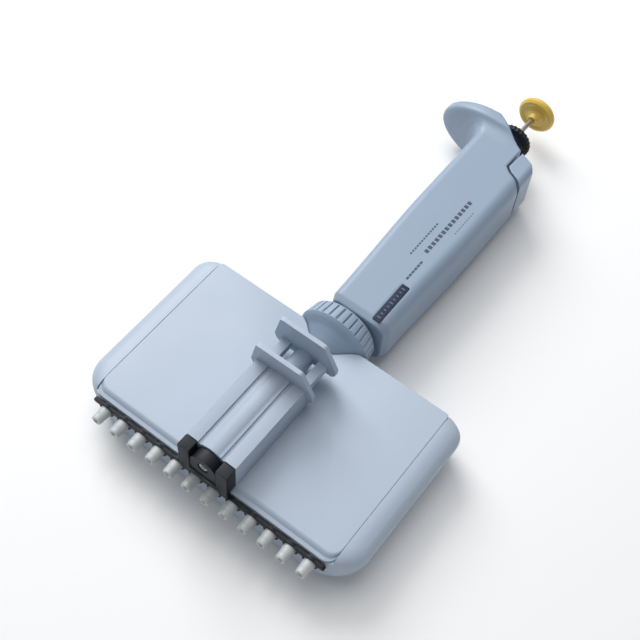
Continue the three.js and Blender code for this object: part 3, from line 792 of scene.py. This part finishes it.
def coupling_nut():
    """Ribbed band over a smooth cone. Narrow grooves with rounded floors part the ribs."""
    bore, reach = NECK_BORE, NUT.x1
    band_low, band_top = NUT.y0 + NUT_CONE[-1][1], NUT.y1 - 0.8
    band_taper, groove_depth, crown_drop = 1.1, 0.95, 0.12
    groove_start, groove_half = 0.72, 0.28  # shares of half a rib's pitch, from its middle

    def ribbed(radius, y, angle):
        rise = min(max((y - band_low) / 0.7, 0), 1) * min(max((band_top - y) / 0.3, 0), 1)
        if radius < reach - 2.2 or rise <= 0:
            return radius
        phase = (angle * NUT_RIBS / (2 * math.pi)) % 1
        off_middle = abs(phase - 0.5) * 2
        groove = max(0.0, (off_middle - groove_start) / groove_half)
        depth = groove_depth * (1 - (1 - groove) ** 2)
        crown = crown_drop * off_middle**2
        return radius - rise * (depth + crown)

    samples = 12
    band = [(reach - band_taper * k / samples, band_low + (band_top - band_low) * k / samples)
            for k in range(1, samples + 1)]
    cone = [(radius, NUT.y0 + rise, 6) for radius, rise in NUT_CONE[1:-1]]
    cone.append((reach, band_low, 0.8))
    profile = [
        (bore, NUT.y1 - 0.1), (bore, NUT.y0 + 0.1, 0.2), (NUT_CONE[0][0], NUT.y0, 0.6), *cone, *band,
        (14.6, NUT.y1, 0.3), (bore, NUT.y1 - 0.01, 0.1),
    ]
    nut = turned("swivel_nut", profile, 0, AXIS_Z, NUT_RIBS * 20, 6, ribbed, closed=True)
    return keep(nut, "coupling", "nut", NUT_PLASTIC, "coupling_nut")


def washer():
    """The dark ring between the nut and the handle."""
    y0, y1 = WASHER.y0, WASHER.y1
    profile = [(NECK_BORE, y0), (WASHER.x1, y0, 0.3), (WASHER.x1, y1, 0.3), (NECK_BORE, y1)]
    piece = turned("swivel_ring", profile, closed=True)
    return keep(piece, "handle", "black_plastic", BLACK, "swivel_washer")


# ---------------------------------------------------------------- handle

HANDLE_HALF_Z = 13
HANDLE_Z0, HANDLE_Z1 = AXIS_Z - HANDLE_HALF_Z, AXIS_Z + HANDLE_HALF_Z
HANDLE_LEFT, HANDLE_RIGHT = -9.8, 18.2
HANDLE_CORNER = 3.6  # corner radius on the hook's side
SWELL = 2  # how much each side widens
SWELL_END = 165
SLOPE_LEFT = (-8, 221.3)  # ends of the slope behind the collar
SLOPE_RIGHT = (11.6, 209.7)


def handle_form(name, inset, y0, y1, front_corner=6.0):
    """Rounded section that widens from the lower end towards the middle."""
    rings = []
    end = 1.4
    steps = 40
    corners = (HANDLE_CORNER, 6, front_corner, HANDLE_CORNER)
    for k in range(steps + 1):
        y = y0 + (y1 - y0) * k / steps
        rise = min(max((y - HANDLE.y0) / (SWELL_END - HANDLE.y0), 0), 1)
        grow = SWELL * rise * rise * (3 - 2 * rise)
        lip = max(0.0, end - (y - y0)) if inset == 0 else 0
        pull = inset + end - math.sqrt(max(0.0, end**2 - lip**2)) if lip else inset
        outline = rounded_outline(
            HANDLE_LEFT - grow + pull, HANDLE_RIGHT + grow - pull,
            HANDLE_Z0 + pull, HANDLE_Z1 - pull, [radius - pull * 0.4 for radius in corners], 10,
        )
        rings.append([(x, y, z) for x, z in outline])
    return loft(name, rings)


def resample(points, count):
    """Evenly spaced points along a line of points, both ends kept."""
    gaps = [math.dist(a, b) for a, b in zip(points, points[1:])]
    marks = np.concatenate([[0], np.cumsum(gaps)])
    at = np.linspace(0, marks[-1], count)
    xs = np.interp(at, marks, [p[0] for p in points])
    zs = np.interp(at, marks, [p[1] for p in points])
    return list(zip(xs, zs))


HOOK_END = -34.2  # tip of the finger hook
HOOK_TOP = 221
HOOK_INSIDE = 10  # where it ends inside the handle
HOOK_ROOT_Z = HANDLE_HALF_Z - 0.2  # half its depth at the root, just under the handle's faces


def hook_root():
    """The handle's own section, as the front half of an outline from right to left."""
    left, corner = HANDLE_LEFT - SWELL + 0.4, HANDLE_CORNER
    front = [(HOOK_INSIDE, HOOK_ROOT_Z), (left + corner, HOOK_ROOT_Z)]
    angles = [math.pi / 2 * k / 12 for k in range(1, 13)]
    reach = HOOK_ROOT_Z - corner
    front += [(left + corner - corner * math.sin(a), reach + corner * math.cos(a)) for a in angles]
    return front + [(left, 0)]


def hook_rim():
    """The hook's rim: it flares past the handle's faces and ends in a half ellipse."""
    root, height, bend_x = HOOK_ROOT_Z, HANDLE_HALF_Z + 3.2, -8.0
    front = []
    for k in range(13):
        t = k / 12
        rise = math.sin(math.pi / 2 * min(1, 1.3 * t)) ** 2
        front.append((HOOK_INSIDE + (bend_x - HOOK_INSIDE) * t, root + (height - root) * rise))
    for k in range(1, 37):
        angle = math.pi / 2 * k / 36
        front.append((bend_x + (HOOK_END - bend_x) * math.sin(angle), height * math.cos(angle)))
    return front


def finger_hook():
    """A visor that grows out of the handle's section, slowly at first, to a D-shaped rim."""
    count = 60
    root, rim = resample(hook_root(), count), resample(hook_rim(), count)
    # Height along the handle, and how far the section has grown from root to rim there.
    growth = [
        (200, 0), (205, 0.015), (209, 0.07), (211.6, 0.17), (213.2, 0.31), (214.4, 0.5),
        (215.2, 0.7), (215.8, 0.86), (216.4, 0.95), (217.2, 0.99), (218.2, 1.0),
        (220.2, 1.0), (220.8, 0.985), (HOOK_TOP, 0.955),
    ]
    rings = []
    for y, share in growth:
        front = [
            (a[0] + (b[0] - a[0]) * share, a[1] + (b[1] - a[1]) * share) for a, b in zip(root, rim)
        ]
        back = [(x, -z) for x, z in reversed(front[:-1])]
        rings.append([(x, y, AXIS_Z + z) for x, z in front + back])
    return loft("finger_hook", rings)


def handle_outer(name, *additions, front_corner=6.0):
    """The handle's outer form, cut to its sloped upper end."""
    form = handle_form(name, 0, HANDLE.y0, 225, front_corner)
    combine(form, "UNION", *additions)
    profile = [
        (-FAR, 80), (FAR, 80), (FAR, 199.5), (20.6, 204.2), (17.6, 207.2), SLOPE_RIGHT, SLOPE_LEFT,
        (-FAR, SLOPE_LEFT[1]),
    ]
    return combine(form, "INTERSECT", prism("profile", profile, "z", -FAR, FAR))


# The lock lever's outline in the handle's upper right corner, from its top down to its foot.
LEVER_EDGE = ((11.4, 211), (10.5, 199.6), (13.5, 197.2), (17.8, 195.4), (21.6, 193.0))
LEVER_GAP = 0.9
COLLAR_BORE = 6.7  # radius of the hole that the setting collar turns in


def handle_shell():
    """The handle with its hook, hollowed, with the lever's pocket and the window's opening."""
    shell = handle_outer("handle_body", finger_hook())
    floor, roof = 99, 216.4
    # The cavity's outline steps round the lever's pocket.
    inside = [
        (-FAR, floor), (FAR, floor), (FAR, 187.5), (18, 187.5), (7.6, 195.4), (8.6, 208.2),
        (-4.5, roof), (-FAR, roof),
    ]
    cavity = handle_form("cavity", WALL, floor, 218)
    combine(cavity, "INTERSECT", prism("inside", inside, "z", -FAR, FAR))
    edge = [(x - LEVER_GAP, y - LEVER_GAP / 2) for x, y in LEVER_EDGE]
    above = 230
    pocket = [(edge[0][0], above), *edge[1:], (FAR, edge[-1][1]), (FAR, above)]
    window = slab("window", WINDOW.x0 - SEAM, WINDOW.x1 + SEAM, WINDOW.y0 - SEAM, WINDOW.y1 + SEAM,
                  HANDLE_Z0 - 1, HANDLE_Z0 + 3)
    seat = slab("seat", LABEL.x0 - 0.2, LABEL.x1 + 0.2, LABEL.y0 - 0.2, LABEL.y1 + 0.2,
                HANDLE_Z1 - 0.5, HANDLE_Z1 + 4)
    neck = rod("neck", NECK_BORE, HANDLE.y0 - 2, floor + 2)
    collar_bore = rod("collar_bore", COLLAR_BORE, 203, 240)
    combine(shell, "DIFFERENCE", cavity, prism("pocket", pocket, "z", -FAR, FAR), neck, collar_bore)
    combine(shell, "DIFFERENCE", window, seat)
    moulded(shell, 0.38, 6)
    return keep(shell, "handle", "handle", HANDLE_PLASTIC, "handle_shell")


def lock_lever():
    """The lever: the corner of the handle's form inside the lever's outline."""
    lever = handle_outer("lock_key", front_corner=3.2)
    outline = [*LEVER_EDGE, (FAR, LEVER_EDGE[-1][1]), (FAR, LEVER_EDGE[0][1])]
    combine(lever, "INTERSECT", prism("key", outline, "z", -FAR, FAR))
    moulded(lever, 0.26, 5)
    return keep(lever, "lock", "handle", HANDLE_PLASTIC, "lock_lever")


def range_label():
    """The dark label, with plain marks in place of its print."""
    outline = rounded_outline(LABEL.x0, LABEL.x1, LABEL.y0, LABEL.y1, [0.35] * 4, 6)
    film = prism("range_plate", outline, "z", LABEL.z0, LABEL.z1)
    bevelled(film, 0.05, 50, 2)
    keep(film, "handle", "label", NAVY, "range_label")
    marks = []
    amount, margin, half_width = 9, 2, 0.22
    pitch = (LABEL.y1 - LABEL.y0 - 2 * margin) / (amount - 1)
    for i in range(amount):
        y = LABEL.y0 + margin + i * pitch
        half_length = 0.85 if i % 4 == 0 else 0.5
        marks.append((LABEL.cx - half_length, LABEL.cx + half_length, y - half_width, y + half_width))
    printed("label_marks", marks, LABEL.z1, PALE_INK)


def printed(name, bars, z, ink):
    """Flat printed bars, a hair proud of the surface at z."""
    thickness, sunk, corner = 0.02, 0.1, 0.12
    vertices, faces = [], []
    for x0, x1, y0, y1 in bars:
        start = len(vertices)
        for level in (z - sunk, z + thickness):
            outline = rounded_outline(x0, x1, y0, y1, [corner] * 4, 3)
            vertices += [(x, y, level) for x, y in outline]
        ring = (len(vertices) - start) // 2
        faces.append(tuple(start + ring + i for i in range(ring)))
        faces.append(tuple(start + i for i in reversed(range(ring))))
        for i in range(ring):
            j = (i + 1) % ring
            faces.append((start + i, start + j, start + ring + j, start + ring + i))
    piece = build(name, vertices, faces)
    return keep(piece, "handle", "label", ink)


def printed_rows():
    """Plain dashes in place of the handle's lettering: rows of x, y0, y1, height, dash and gap."""
    rows = (
        ("upper_row", 3.9, 133.1, 154.6, 0.8, 1.1, 0.5, INK),
        ("middle_row", 8.4, 137.7, 174.2, 1.9, 1.7, 0.8, INK),
        ("lower_row", 12.6, 153.2, 168.8, 0.6, 0.9, 0.6, PALE_INK),
        ("corner_bar", 9.9, 121.6, 134.6, 1.0, 1.6, 0.35, INK),
    )
    for name, x, y0, y1, height, dash, gap, ink in rows:
        bars = []
        y = y0
        while y + dash <= y1:
            bars.append((x - height / 2, x + height / 2, y, y + dash))
            y += dash + gap
        printed(name, bars, HANDLE_Z1, ink)


# ---------------------------------------------------------------- setting collar, plunger, counter


def setting_collar():
    """Spool with a finely fluted base ring and head."""
    bore, spindle = 1.4, 6.0
    flutes, flute_depth = 24, 0.35
    y0, y1 = COLLAR.y0, COLLAR.y1
    ring_y = y1 - 7.2

    def fluted(radius, _, angle):
        if radius < spindle + 1:
            return radius
        return radius - flute_depth * (0.5 + 0.5 * math.cos(angle * flutes)) ** 2

    profile = [
        (bore, y0), (spindle, y0, 0.3), (spindle, y1 - 8.6, 0.6), (COLLAR.x1 - 0.3, ring_y, 0.4),
        (COLLAR.x1 - 0.1, ring_y + 1.2, 0.3), (COLLAR.x1 - 0.5, ring_y + 2.6, 0.4),
        (4.4, y1 - 4.1, 0.8), (3.9, y1 - 2.6, 0.4), (3.5, y1 - 1.2, 0.4),
        (2.4, y1 - 1.0, 0.3), (bore, y1 - 1.0),
    ]
    collar = turned("volume_collar", profile, 0, AXIS_Z, 240, 6, fluted, closed=True)
    return keep(collar, "volume_setting", "black_plastic", BLACK, "setting_collar")


def plunger_rod():
    """The steel rod between the collar and the button."""
    radius = PLUNGER.z1 - AXIS_Z
    profile = [(0, PLUNGER.y0), (radius, PLUNGER.y0, 0.2), (radius, PLUNGER.y1, 0.2), (0, PLUNGER.y1)]
    piece = turned("plunger_stem", profile)
    return keep(piece, "plunger", "steel", STEEL, "plunger_rod")


def push_button():
    """Mushroom button: conical hub, hollowed underside, rolled rim, dished top."""
    y0, y1, rim = BUTTON.y0, BUTTON.y1, BUTTON.x1
    profile = [
        (1.35, y0 + 2), (1.35, y0 + 0.05), (2.1, y0, 0.3), (2.8, y0 + 2.0, 0.5), (3.8, y0 + 3.0, 0.6),
        (5.6, y0 + 3.4, 0.8), (7.0, y0 + 2.9, 0.6), (8.1, y0 + 3.0, 0.3), (rim, y0 + 4.2, 0.5),
        (rim, y0 + 5.4, 0.7), (8.0, y1 - 0.7, 0.9), (5.4, y1, 1.2), (3.2, y1 - 0.35, 1.5),
        (0, y1 - 0.6),
    ]
    button = turned("thumb_button", profile, 0, AXIS_Z, 128, 6)
    return keep(button, "plunger", "button", YELLOW, "push_button")


def counter_window():
    """The clear pane over the digit drums."""
    outline = rounded_outline(WINDOW.x0, WINDOW.x1, WINDOW.y0, WINDOW.y1, [0.8] * 4, 8)
    pane = prism("counter_pane", outline, "z", WINDOW.z0, WINDOW.z1)
    bevelled(pane, 0.15)
    return keep(pane, "handle", "window", CLEAR, "counter_window")


FIGURES = 10


def digit_drum(number, body):
    """A counter drum with ten raised figures round it."""
    node = f"digit_drum_{number}"
    spot = Extent(node)
    bore, figure_size, relief = 1.1, 3.4, 0.05
    radius = (spot.x1 - spot.x0) / 2 - 0.12
    profile = [(bore, spot.y0), (radius, spot.y0, 0.3), (radius, spot.y1, 0.3), (bore, spot.y1)]
    drum = turned(f"counter_drum_{number}", profile, spot.cx, spot.cz, 80, closed=True)
    keep(drum, body, "black_plastic", BLACK, node)
    lift = Matrix.Translation((0, 0, (radius + 0.02) * MM))
    place = Matrix.Translation(to_frame(spot.cx, spot.cy, spot.cz))
    quarter = Matrix.Rotation(math.radians(90), 4, "Z")
    joined = bmesh.new()
    for figure in range(FIGURES):
        curve = bpy.data.curves.new(f"figure_{figure}", "FONT")
        curve.body = str(figure)
        curve.size = figure_size * MM
        curve.extrude = relief * MM
        curve.align_x = "CENTER"
        curve.align_y = "CENTER"
        text = new_object(f"figure_{figure}", curve)
        spin = Matrix.Rotation(math.radians(360 / FIGURES * figure + 180), 4, "Y")
        graph = bpy.context.evaluated_depsgraph_get()
        bpy.context.view_layer.update()
        mesh = bpy.data.meshes.new_from_object(text.evaluated_get(graph))
        mesh.transform(place @ spin @ lift @ quarter)
        joined.from_mesh(mesh)
        bpy.data.objects.remove(text)
    result = bpy.data.meshes.new(f"drum_figures_{number}")
    joined.to_mesh(result)
    joined.free()
    keep(new_object(f"drum_figures_{number}", result), body, "black_plastic", WHITE_INK)


# ---------------------------------------------------------------- springs and hidden CAD pieces


def coil(name, node, body, turns, wire):
    """Compression spring with closed ends."""
    space = Extent(node)
    half = wire / 2
    radius = space.x1 - half
    low, high = space.y0 + half, space.y1 - half
    steps_per_turn, sides = 28, 10
    rings = []
    for k in range(turns * steps_per_turn + 1):
        turn = k / steps_per_turn
        open_share = min(max((turn - 1) / (turns - 2), 0), 1)
        closed_rise = wire * (min(turn, 1) + max(turn - turns + 1, 0))
        y = low + closed_rise + (high - low - 2 * wire) * open_share
        angle = 2 * math.pi * turn
        ring = []
        for i in range(sides):
            around = 2 * math.pi * i / sides
            reach = radius + half * math.cos(around)
            level = min(max(y + half * math.sin(around), space.y0), space.y1)
            ring.append((reach * math.sin(angle), level, space.cz + reach * math.cos(angle)))
        rings.append(ring)
    piece = keep(loft(name, rings), body, "steel", STEEL, node)
    to_frame(0, space.y0, space.cz)
    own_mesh(piece)


def finish_inner_nodes():
    """Inner CAD pieces keep their shape and take a material by their record slot."""
    by_slot = {"steel": STEEL, "inner_plastic": INNER, "seal": SILICONE}
    for entry in frame["record"]["subparts"]:
        material = by_slot.get(entry["material_slot"])
        node = NODES[entry["node"]]
        if material and not node.hide_render:
            node.data.materials.clear()
            node.data.materials.append(material)


# ---------------------------------------------------------------- stage, light, camera


def stage():
    """A plain pale floor."""
    size = 3.0
    mesh = bpy.data.meshes.new("floor")
    corners = [(-size, -size, 0), (size, -size, 0), (size, size, 0), (-size, size, 0)]
    mesh.from_pydata(corners, [], [(0, 1, 2, 3)])
    floor = new_object("floor", mesh)
    look = Look("floor_paper")
    tone = look.noise(3, 2.0)
    look.colour(look.ramp(tone, [(0.3, (0.88, 0.88, 0.885)), (0.7, (0.9, 0.9, 0.9))]))
    socket(look.shader, "Roughness", 0.9)
    mesh.materials.append(look.material)


def area_light(name, spot, target, size, power):
    """A round white lamp that faces its target."""
    data = bpy.data.lights.new(name, "AREA")
    data.shape = "DISK"
    data.size = size
    data.energy = power
    lamp = bpy.data.objects.new(name, data)
    lamp.location = spot
    lamp.rotation_euler = (Vector(target) - Vector(spot)).to_track_quat("-Z", "Y").to_euler()
    bpy.context.scene.collection.objects.link(lamp)


def lights():
    """Large soft lamps above and behind the left side, and a weak even surround."""
    middle = (0, 0, 0.02)
    area_light("key", (-0.8, 0.4, 0.75), middle, 0.8, 10)
    area_light("top", (-0.3, 0.2, 1.2), middle, 1.4, 9.5)
    area_light("fill", (0.5, -0.8, 0.5), middle, 0.8, 0.8)
    world = bpy.data.worlds.new("studio")
    world.use_nodes = True
    background = world.node_tree.nodes["Background"]
    socket(background, "Color", (0.93, 0.965, 1.0, 1))
    socket(background, "Strength", 0.25)
    bpy.context.scene.world = world
    bpy.context.scene.view_settings.view_transform = "Standard"


CAMERA_ANGLES = (32.668, 57.472, 5.374)  # azimuth, elevation and roll, in degrees
CAMERA_DISTANCE = 0.46837  # metres from the aim
CAMERA_AIM = (-10.28, 91.0, 0)
CAMERA_LENS = 64.25


def camera():
    """Looks down on the row from the right, a little turned about its own line of sight."""
    azimuth, elevation, roll = (math.radians(angle) for angle in CAMERA_ANGLES)
    back = Vector((
        math.sin(azimuth) * math.cos(elevation),
        -math.cos(azimuth) * math.cos(elevation),
        math.sin(elevation),
    ))
    side = Vector((0, 0, 1)).cross(back).normalized()
    up = back.cross(side)
    turn = Matrix.Rotation(roll, 3, back)
    data = bpy.data.cameras.new("camera")
    data.sensor_width = 36
    data.lens = CAMERA_LENS
    data.clip_start = 0.01
    view = bpy.data.objects.new("camera", data)
    axes = Matrix((turn @ side, turn @ up, back)).transposed()
    spot = to_frame(*CAMERA_AIM) + back * CAMERA_DISTANCE
    view.matrix_world = Matrix.Translation(spot) @ axes.to_4x4()
    bpy.context.scene.collection.objects.link(view)
    bpy.context.scene.camera = view


camera()
back_shell()
front_cover()
for count in range(COVER_SCREWS):
    cover_screw(count + 1)
for count, place_x in enumerate(channel_places()):
    nozzle(count + 1, place_x)
guide_sleeve()
ejector_grip()
ejector_rod()
ejector_foot()
foot_screw()
stripper()
coupling_nut()
washer()
handle_shell()
lock_lever()
range_label()
printed_rows()
setting_collar()
plunger_rod()
push_button()
counter_window()
for count, drum_body in enumerate(("units_drum", "tens_drum", "hundreds_drum")):
    digit_drum(count + 1, drum_body)
coil("grip_spring", "ejector_spring", "manifold", 7, 0.8)
coil("return_spring", "plunger_spring", "handle", 6, 0.9)
finish_inner_nodes()
stage()
lights()
